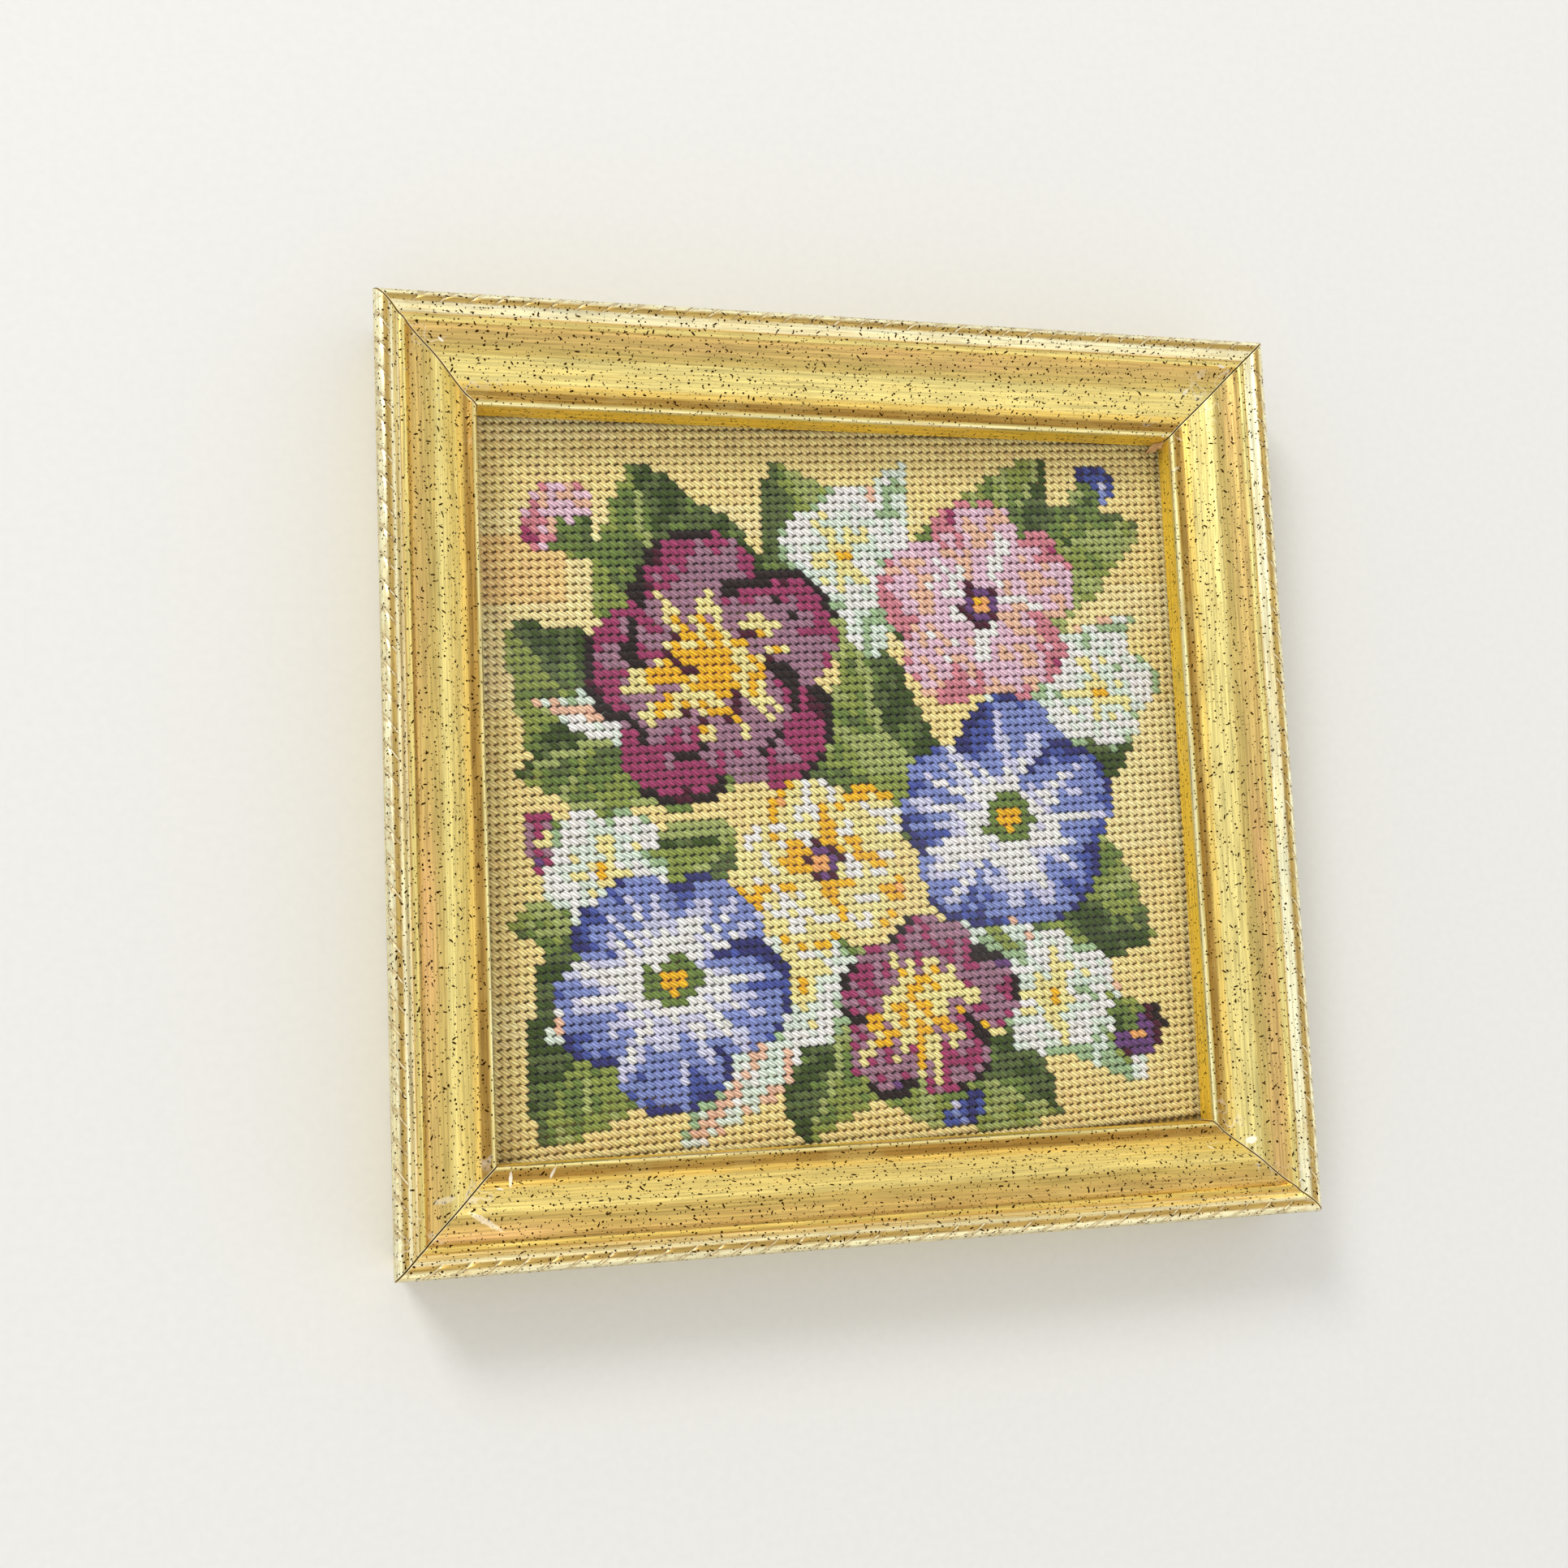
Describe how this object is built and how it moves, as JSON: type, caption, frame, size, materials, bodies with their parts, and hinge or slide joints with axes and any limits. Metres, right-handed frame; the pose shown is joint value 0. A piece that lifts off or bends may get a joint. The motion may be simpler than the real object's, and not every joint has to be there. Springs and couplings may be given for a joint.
{
  "type": "needlepoint canvas panel in a gilt picture frame",
  "caption": "Square floral needlepoint on canvas behind glass, set deep in a mitred, speckled gold frame with a scooped section and a rope-twist rim.",
  "frame": {"origin": "under the centre of the face, at the level of the frame's flat back, which the panel lies on", "axes": "+Z out of the picture's face, +Y towards the picture's top, +X to its right as it is looked at"},
  "size_m": [0.267, 0.267, 0.0301],
  "materials": {
    "tapestry_wool": "matt plied tapestry wool in slanted stitches over open-mesh cotton canvas",
    "picture_glass": "clear, polished",
    "gilt_wood": "satin gold leaf over an orange ground, brushed along the rail and spattered with dark specks"
  },
  "bodies": {
    "root": {"stitched_canvas": "tapestry_wool", "glass_pane": "picture_glass", "rail_top": "gilt_wood", "rail_bottom": "gilt_wood", "rail_left": "gilt_wood", "rail_right": "gilt_wood"}
  },
  "joints": []
}
